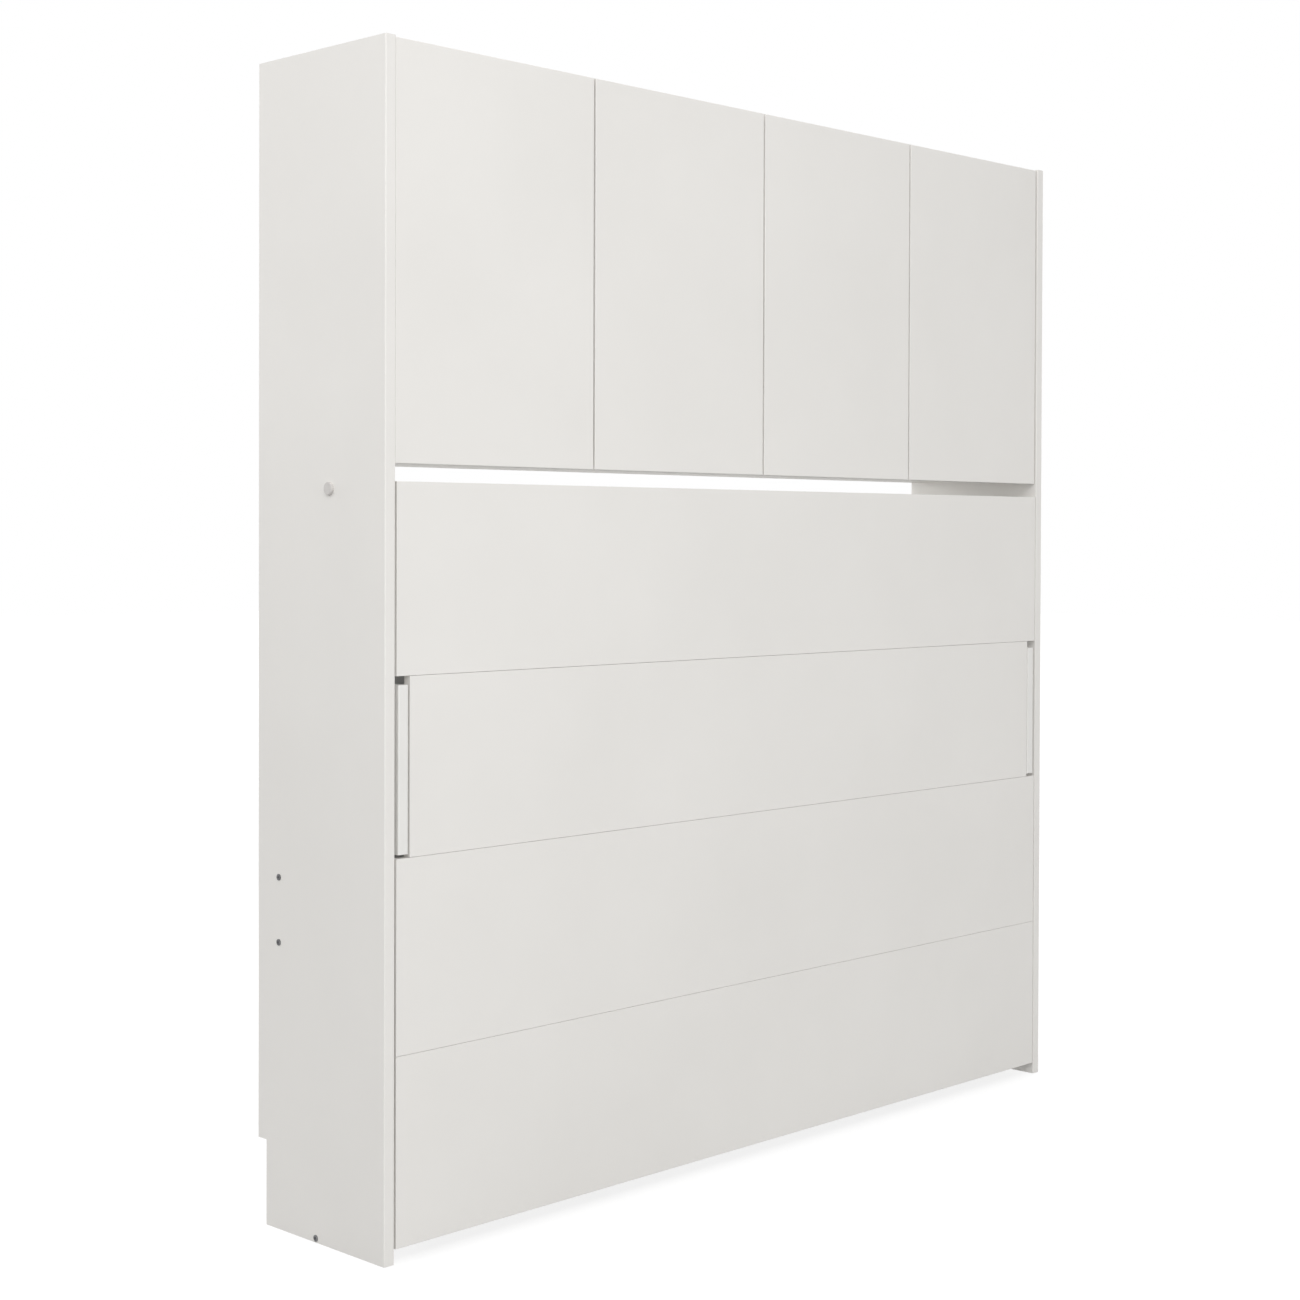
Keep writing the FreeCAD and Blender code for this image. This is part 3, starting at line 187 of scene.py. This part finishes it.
def rodChrome(look):  # polished rod, fine turning marks round it
    material, tree, shader, place = startFinish("rodChrome", {"Metallic": 1.0})
    marks = speckle(tree, stretched(tree, place, look["turning"]), scale=1.0, detail=2.0)
    tint(tree, shader, speckle(tree, place, scale=25.0), look["dark"], look["light"])
    gloss(tree, shader, marks, low=0.07, high=0.16)
    return material


def moulded(name, dark, light, roughness):  # plastic or rubber with a spark-eroded skin
    material, tree, shader, place = startFinish(name, {"Specular IOR Level": 0.45})
    skin = speckle(tree, place, scale=1400.0, rough=0.6)
    tint(tree, shader, speckle(tree, place, scale=40.0, detail=4.0), dark, light)
    gloss(tree, shader, skin, low=roughness - 0.08, high=roughness + 0.08)
    relief(tree, shader, skin, strength=0.2, depth=0.0002)
    return material


def mattressTicking(look):  # woven cover: crossed threads and a soft sheen
    material, tree, shader, place = startFinish("mattressTicking", {
        "Specular IOR Level": 0.2, "Sheen Weight": 0.25, "Sheen Roughness": 0.45,
        "Sheen Tint": (1, 0.98, 0.95, 1)})
    threads = [stripes(tree, place, way, look["thread"], distortion=1.2, detail=1.0) for way in "XZY"]
    weave = blendOf(tree, blendOf(tree, threads[0], threads[1], "ADD"), threads[2], "ADD")
    slubs = speckle(tree, stretched(tree, place, look["slub"]), scale=1.0, detail=5.0, rough=0.65)
    tint(tree, shader, slubs, look["dark"], look["light"])
    gloss(tree, shader, slubs, low=0.78, high=0.92)
    relief(tree, shader, weave, strength=0.25, depth=0.0006)
    return material


def strapWebbing(look):  # herringbone webbing, ribs across the strap
    material, tree, shader, place = startFinish("strapWebbing", {
        "Specular IOR Level": 0.3, "Sheen Weight": 0.15})
    ribs = stripes(tree, place, "DIAGONAL", look["ribs"], distortion=0.8, detail=1.0)
    cross = stripes(tree, place, "X", look["cross"], distortion=0.4, detail=1.0)
    weave = blendOf(tree, ribs, cross, "MULTIPLY")
    tint(tree, shader, weave, look["dark"], look["light"], low=0.1, high=0.8)
    gloss(tree, shader, weave, low=0.6, high=0.8)
    relief(tree, shader, weave, strength=0.5, depth=0.0006)
    return material


finishes = {
    "white_board": whiteBoard(boardLook),
    "back_board": backBoard(backLook),
    "slat_wood": slatWood(slatLook),
    "frame_steel": powderCoat("greyCoat", (0.33, 0.335, 0.34), (0.39, 0.395, 0.40), 0.45),
    "white_steel": powderCoat("whiteCoat", (0.80, 0.79, 0.765), (0.83, 0.82, 0.795), 0.38),
    "zinc_steel": zincSteel("zincSteel", (0.52, 0.525, 0.53), (0.68, 0.685, 0.69)),
    "bolt_steel": zincSteel("boltSteel", (0.11, 0.11, 0.115), (0.22, 0.22, 0.225)),
    "strut_black": powderCoat("blackEnamel", (0.012, 0.012, 0.013), (0.022, 0.022, 0.024), 0.32),
    "rod_chrome": rodChrome(rodLook),
    "cap_plastic": moulded("paleCaps", (0.58, 0.56, 0.54), (0.64, 0.62, 0.60), 0.5),
    "white_plastic": moulded("whiteMoulding", (0.78, 0.77, 0.745), (0.82, 0.81, 0.785), 0.42),
    "black_plastic": moulded("blackMoulding", (0.018, 0.018, 0.019), (0.032, 0.032, 0.034), 0.45),
    "rubber": moulded("blackRubber", (0.022, 0.021, 0.020), (0.042, 0.040, 0.038), 0.72),
    "mattress_fabric": mattressTicking(tickingLook),
    "strap_webbing": strapWebbing(webbingLook),
}
slotOf = {row["node"]: row["material_slot"] for row in frame["record"]["subparts"]}
for nodeName, node in frame["nodes"].items():
    node.data.materials.clear()
    node.data.materials.append(finishes[slotOf[nodeName]])
print("finishes:", len(finishes))


def asPiece(name, mesh, body, slot):
    piece = bpy.data.objects.new(name, mesh)
    scene.collection.objects.link(piece)
    mesh.materials.clear()
    mesh.materials.append(finishes[slot])
    for face in mesh.polygons:
        face.use_smooth = True
    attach(piece, body)
    return piece


def meshOf(name, bm):
    bmesh.ops.recalc_face_normals(bm, faces=bm.faces)
    mesh = bpy.data.meshes.new(name)
    bm.to_mesh(mesh)
    bm.free()
    return mesh


def applied(name, piece):  # the mesh with its modifiers worked in
    depsgraph = bpy.context.evaluated_depsgraph_get()
    mesh = bpy.data.meshes.new_from_object(piece.evaluated_get(depsgraph))
    mesh.name = name
    return mesh


def settle(piece):  # the piece keeps what its modifiers made of it
    mesh = applied(piece.name, piece)
    piece.modifiers.clear()
    piece.data = mesh


def rampUp(value, start, end):  # 0 up to the start, 1 from the end on
    return min(1.0, max(0.0, (value - start) / (end - start)))


mattressPlan = {
    "inset": 0.010, "corner": 0.052, "cornerSegments": 8, "edge": 0.022, "edgeSegments": 5, "voxel": 0.018,
    "tuftsAlong": 9, "tuftsAcross": 12, "tuftReach": 0.018, "faceReach": 0.004,
    "pressure": 8.0, "frames": 20, "quality": 5, "cap": 0.0095,
    "grooveDepth": 0.0055, "grooveWidth": 0.012, "grooveFacing": (0.5, 0.75),
    "pressReach": 0.030, "pressRest": 0.0003, "pressFacing": (0.8, 0.925),
    "pipeRadius": 0.004, "pipeRounds": 3, "pipeSegments": 10,
}
strapPlan = {
    "band": 0.04, "thickness": 0.0018, "inset": 0.002, "turn": 0.010, "segments": 5,
    "guardLift": 0.0004, "endLift": 0.002, "endCut": 0.014, "hem": 0.0006, "hemSegments": 2,
}


def mattressBlank(plan, half, centre):  # rounded block with an even mesh all over it
    sameSpot = 1e-5
    bm = bmesh.new()
    bmesh.ops.create_cube(bm, size=2)
    bmesh.ops.scale(bm, vec=half, verts=bm.verts)
    upright = [e for e in bm.edges if abs(e.verts[0].co.y - e.verts[1].co.y) > half.y]
    bmesh.ops.bevel(bm, geom=upright, offset=plan["corner"], affect="EDGES",
                    segments=plan["cornerSegments"], profile=0.5, material=-1)
    onFaces = [e for e in bm.edges if abs(abs(e.verts[0].co.y) - half.y) < sameSpot]
    rims = [e for e in onFaces if abs(e.verts[0].co.y - e.verts[1].co.y) < sameSpot]
    bmesh.ops.bevel(bm, geom=rims, offset=plan["edge"], affect="EDGES",
                    segments=plan["edgeSegments"], profile=0.5, material=-1)
    bmesh.ops.translate(bm, vec=centre, verts=bm.verts)
    pad = asPiece("mattressPad", meshOf("mattressBlank", bm), "bed", "mattress_fabric")
    remesh = pad.modifiers.new("even", "REMESH")
    remesh.mode = "VOXEL"
    remesh.voxel_size = plan["voxel"]
    remesh.use_smooth_shade = True
    settle(pad)
    return pad


def heldPoints(plan, points, low, high, half, centre):  # sewn down at the rims and at each tuft
    stepX = (high.x - low.x) / plan["tuftsAlong"]
    stepZ = (high.z - low.z) / plan["tuftsAcross"]

    def tuftGap(point):  # distance to the nearest tuft, in a staggered grid
        gaps = []
        for row in range(plan["tuftsAcross"]):
            z = low.z + stepZ * (row + 0.5)
            shift = 0.5 if row % 2 else 0.0
            column = round((point.x - low.x) / stepX - 0.5 - shift)
            x = low.x + (column + 0.5 + shift) * stepX
            gaps.append(math.hypot(point.x - x, point.z - z))
        return min(gaps)

    held = []
    for i, point in enumerate(points):
        flat = min(point.y - low.y, high.y - point.y) - plan["inset"]
        side = min(half.x - abs(point.x - centre.x), half.z - abs(point.z - centre.z))
        onRim = flat < plan["edge"] and side < plan["edge"]
        if onRim or (flat < plan["faceReach"] and tuftGap(point) < plan["tuftReach"]):
            held.append(i)
    return held


def swell(pad, plan, held):  # cloth under pressure, pinned where it is sewn
    start = [v.co.copy() for v in pad.data.vertices]
    pad.vertex_groups.new(name="held").add(held, 1.0, "REPLACE")
    cloth = pad.modifiers.new("swell", "CLOTH")
    cloth.settings.use_pressure = True
    cloth.settings.uniform_pressure_force = plan["pressure"]
    cloth.settings.vertex_group_mass = "held"
    cloth.settings.effector_weights.gravity = 0
    cloth.settings.quality = plan["quality"]
    cloth.point_cache.frame_end = plan["frames"]
    for step in range(1, plan["frames"] + 1):
        scene.frame_set(step)
    swollen = applied("mattressSwollen", pad)
    pad.modifiers.remove(cloth)
    for vertex, before, after in zip(pad.data.vertices, start, swollen.vertices):
        move = after.co - before
        if move.length > plan["cap"]:
            move = move.normalized() * plan["cap"]
        vertex.co = before + move
    bpy.data.meshes.remove(swollen)
    scene.frame_set(1)
    pad.vertex_groups.clear()


def quilt(mesh, plan, low, high):  # sewn diamonds between the tufts, drawn up flat against the straps
    stepX = (high.x - low.x) / plan["tuftsAlong"]
    stepZ = 2 * (high.z - low.z) / plan["tuftsAcross"]
    originZ = low.z + stepZ / 4
    slope = math.hypot(1 / stepX, 1 / stepZ)
    strapLow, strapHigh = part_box("mattress_straps")
    strapHalf = strapPlan["band"] / 2
    strapMiddles = (strapLow.x + strapHalf, strapHigh.x - strapHalf)
    seat = strapHigh.y - strapPlan["inset"] - plan["pressRest"]
    facings = [vertex.normal.y for vertex in mesh.vertices]  # read before any point moves
    for vertex, facing in zip(mesh.vertices, facings):
        u = (vertex.co.x - low.x - stepX / 2) / stepX
        v = (vertex.co.z - originZ) / stepZ
        first = (u + v) - round(u + v)
        second = (u - v) - round(u - v)
        gap = min(abs(first), abs(second)) / slope
        dip = plan["grooveDepth"] * math.exp(-(gap / plan["grooveWidth"]) ** 2)
        vertex.co.y -= math.copysign(dip, facing) * rampUp(abs(facing), *plan["grooveFacing"])
        beside = min(abs(vertex.co.x - x) for x in strapMiddles) - strapHalf
        share = 1 - rampUp(beside, 0.0, plan["pressReach"])
        share = share * share * (3 - 2 * share) * rampUp(facing, *plan["pressFacing"])
        vertex.co.y += (seat - vertex.co.y) * share


def makePiping(plan, low, high, half, centre):  # corded seam round both faces
    turn = plan["edge"] * (1 - math.sqrt(0.5))
    reach = (half.x - turn, half.z - turn, 1)
    front = low.y + plan["inset"] + turn
    back = high.y - plan["inset"] - turn
    for name, y in (("front", front), ("back", back)):
        bm = bmesh.new()
        bmesh.ops.create_grid(bm, x_segments=1, y_segments=1, size=1)
        bmesh.ops.scale(bm, vec=reach, verts=bm.verts)
        bmesh.ops.bevel(bm, geom=bm.verts[:], offset=plan["corner"] - turn, affect="VERTICES",
                        segments=plan["pipeSegments"], profile=0.5, material=-1)
        bmesh.ops.rotate(bm, cent=(0, 0, 0), matrix=Matrix.Rotation(math.pi / 2, 3, "X"), verts=bm.verts)
        bmesh.ops.translate(bm, vec=(centre.x, y, centre.z), verts=bm.verts)
        ring = [loop.vert.co.copy() for loop in bm.faces[:][0].loops]
        bm.free()
        curve = bpy.data.curves.new("pipingLine", "CURVE")
        curve.dimensions = "3D"
        curve.bevel_depth = plan["pipeRadius"]
        curve.bevel_resolution = plan["pipeRounds"]
        spline = curve.splines.new("POLY")
        spline.points.add(len(ring) - 1)
        for point, co in zip(spline.points, ring):
            point.co = (*co, 1)
        spline.use_cyclic_u = True
        line = bpy.data.objects.new("pipingLine", curve)
        scene.collection.objects.link(line)
        mesh = applied("mattressPiping", line)
        bpy.data.objects.remove(line)
        asPiece("mattressPiping." + name, mesh, "bed", "mattress_fabric")


def makeMattress(plan):
    low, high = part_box("mattress")
    centre = (low + high) / 2
    half = (high - low) / 2 - Vector((1, 1, 1)) * plan["inset"]
    pad = mattressBlank(plan, half, centre)
    points = [v.co.copy() for v in pad.data.vertices]
    swell(pad, plan, heldPoints(plan, points, low, high, half, centre))
    soften = pad.modifiers.new("soften", "SUBSURF")
    soften.levels = 1
    soften.render_levels = 1
    settle(pad)
    quilt(pad.data, plan, low, high)
    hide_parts("mattress")
    makePiping(plan, low, high, half, centre)
    print("mattress:", len(pad.data.vertices), "points")


makeMattress(mattressPlan)


def makeStraps(plan):
    low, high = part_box("mattress_straps")
    guardLow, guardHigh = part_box("guard_sides")
    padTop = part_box("mattress")[1].z
    band = plan["band"]
    back = high.y - plan["inset"]
    half = [  # side view of the upper half: depth and height
        (low.y, guardHigh.z),
        (guardHigh.y, guardHigh.z + plan["guardLift"]),
        (back - plan["endCut"], padTop + plan["endLift"]),
        (back, padTop - plan["endCut"]),
    ]
    mirror = guardLow.z + guardHigh.z
    route = half + [(y, mirror - z) for y, z in reversed(half)]
    for side, x in (("left", low.x), ("right", high.x - band)):
        bm = bmesh.new()
        chain = [bm.verts.new((x, y, z)) for y, z in route]
        edges = [bm.edges.new(pair) for pair in zip(chain, chain[1:])]
        grown = bmesh.ops.extrude_edge_only(bm, edges=edges)["geom"]
        farSide = [g for g in grown if isinstance(g, bmesh.types.BMVert)]
        bmesh.ops.translate(bm, vec=(band, 0, 0), verts=farSide)
        folds = [e for e in bm.edges if len(e.link_faces) == 2]
        bmesh.ops.bevel(bm, geom=folds, offset=plan["turn"], affect="EDGES",
                        segments=plan["segments"], profile=0.5, material=-1)
        strap = asPiece("mattressStrap." + side, meshOf("mattressStrap", bm), "bed", "strap_webbing")
        thick = strap.modifiers.new("thick", "SOLIDIFY")
        thick.thickness = plan["thickness"]
        thick.offset = 1.0
        hem = strap.modifiers.new("hem", "BEVEL")
        hem.width = plan["hem"]
        hem.segments = plan["hemSegments"]
        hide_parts("mattress_straps")
    print("straps: 2")


makeStraps(strapPlan)


cameraPlan = {
    "place": (-3.7717, -3.5469, 1.4181), "yaw": 45.842, "pitch": -0.774, "roll": 0.183,
    "focalPixels": 2205.8, "centreColumn": 663.5, "centreRow": 564.8, "imageSize": 1300.0,
    "sensorWidth": 36, "farClip": 200,
}


def makeCamera(plan):
    yaw, pitch, roll = (math.radians(plan[k]) for k in ("yaw", "pitch", "roll"))
    ahead = Vector((math.sin(yaw) * math.cos(pitch), math.cos(yaw) * math.cos(pitch), math.sin(pitch)))
    across = Vector((math.cos(yaw), -math.sin(yaw), 0))
    up = across.cross(ahead)
    right = across * math.cos(roll) + up * math.sin(roll)
    top = up * math.cos(roll) - across * math.sin(roll)
    data = bpy.data.cameras.new("photoCamera")
    data.sensor_width = plan["sensorWidth"]
    data.lens = plan["focalPixels"] / plan["imageSize"] * plan["sensorWidth"]
    data.shift_x = (plan["imageSize"] / 2 - plan["centreColumn"]) / plan["imageSize"]
    data.shift_y = (plan["centreRow"] - plan["imageSize"] / 2) / plan["imageSize"]
    data.clip_end = plan["farClip"]
    camera = bpy.data.objects.new("photoCamera", data)
    scene.collection.objects.link(camera)
    turn = Matrix((right, top, -ahead)).transposed().to_4x4()
    camera.matrix_world = Matrix.Translation(plan["place"]) @ turn
    scene.camera = camera
    print("camera: lens", round(data.lens, 1))


makeCamera(cameraPlan)


floorPlan = {
    "reach": 30, "drop": 0.0005, "shade": 0.35, "seenShade": 0.95,
    "glow": 0.72, "glowLevel": 1.08, "fadeStart": 2.5, "fadeEnd": 8.0,
}
skyLevel = 0.73
lampPlans = {
    "key": {"place": (-4.2, -4.2, 4.8), "aim": (-0.2, 0.0, 1.9), "size": 2.6, "power": 113.0},
    "fill": {"place": (-1.3, -6.2, 1.75), "aim": (0.0, 0.0, 1.5), "size": 2.4, "power": 83.0},
    "side": {"place": (-5.2, 0.9, 4.2), "aim": (-1.1, 0.0, 2.0), "size": 2.2, "power": 53.0},
    "back": {"place": (-0.7, 3.6, 1.65), "aim": (1.0, 0.0, 1.5), "size": 1.6, "power": 68.0},
    "right": {"place": (5.4, 0.4, 1.6), "aim": (1.1, 0.0, 1.3), "size": 2.0, "power": 46.0},
}
white = (1, 1, 1, 1)


def seenWhite(tree):  # 1 where the camera, a mirror or glass looks straight at it
    path = tree.nodes.new("ShaderNodeLightPath")
    seen = blendOf(tree, path.outputs["Is Camera Ray"], path.outputs["Is Glossy Ray"], "MAXIMUM")
    return blendOf(tree, seen, path.outputs["Is Transmission Ray"], "MAXIMUM")


def mixed(tree, share, first, second, surface):  # the second shader by its share over the first
    mix = tree.nodes.new("ShaderNodeMixShader")
    tree.links.new(share, mix.inputs["Fac"])
    tree.links.new(first, mix.inputs[1])
    tree.links.new(second, mix.inputs[2])
    tree.links.new(mix.outputs["Shader"], surface)


def makeSky(level):  # a plain sky for light, white to the eye
    world = bpy.data.worlds.new("studio")
    world.use_nodes = True
    scene.world = world
    tree = world.node_tree
    sky = tree.nodes["Background"]
    sky.inputs["Color"].default_value = white
    sky.inputs["Strength"].default_value = level
    backdrop = tree.nodes.new("ShaderNodeBackground")
    backdrop.inputs["Color"].default_value = white
    surface = tree.nodes["World Output"].inputs["Surface"]
    mixed(tree, seenWhite(tree), sky.outputs["Background"], backdrop.outputs["Background"], surface)


def makeFloor(plan):  # paler to the eye than to the light it throws back, and whiter further off
    bm = bmesh.new()
    bmesh.ops.create_grid(bm, x_segments=4, y_segments=4, size=plan["reach"])
    bmesh.ops.translate(bm, vec=(0, 0, -plan["drop"]), verts=bm.verts)
    mesh = bpy.data.meshes.new("studioFloor")
    bm.to_mesh(mesh)
    bm.free()
    floor = bpy.data.objects.new("studioFloor", mesh)
    scene.collection.objects.link(floor)
    material, tree, shader, place = startFinish("studioFloor", {"Roughness": 0.9, "Specular IOR Level": 0.1})
    seen = seenWhite(tree)
    shade = between(tree, seen, plan["shade"], plan["seenShade"])
    tree.links.new(shade.outputs["Result"], shader.inputs["Base Color"])
    glow = tree.nodes.new("ShaderNodeEmission")
    glow.inputs["Color"].default_value = white
    glow.inputs["Strength"].default_value = plan["glowLevel"]
    distance = tree.nodes.new("ShaderNodeVectorMath")
    distance.operation = "LENGTH"
    tree.links.new(place, distance.inputs[0])
    fade = between(tree, distance.outputs["Value"], plan["glow"], 1.0)
    fade.inputs["From Min"].default_value = plan["fadeStart"]
    fade.inputs["From Max"].default_value = plan["fadeEnd"]
    share = blendOf(tree, seen, fade.outputs["Result"], "MULTIPLY")
    surface = tree.nodes["Material Output"].inputs["Surface"]
    mixed(tree, share, shader.outputs["BSDF"], glow.outputs["Emission"], surface)
    mesh.materials.append(material)


def makeLamp(name, plan):
    data = bpy.data.lights.new(name + "Softbox", "AREA")
    data.shape = "SQUARE"
    data.size = plan["size"]
    data.energy = plan["power"]
    light = bpy.data.objects.new(name + "Softbox", data)
    scene.collection.objects.link(light)
    light.location = plan["place"]
    light.rotation_mode = "QUATERNION"
    light.rotation_quaternion = (Vector(plan["aim"]) - Vector(plan["place"])).to_track_quat("-Z", "Y")


makeSky(skyLevel)
makeFloor(floorPlan)
for lampName, lampPlan in lampPlans.items():
    makeLamp(lampName, lampPlan)
scene.view_settings.view_transform = "Standard"
print("stage and lamps set")
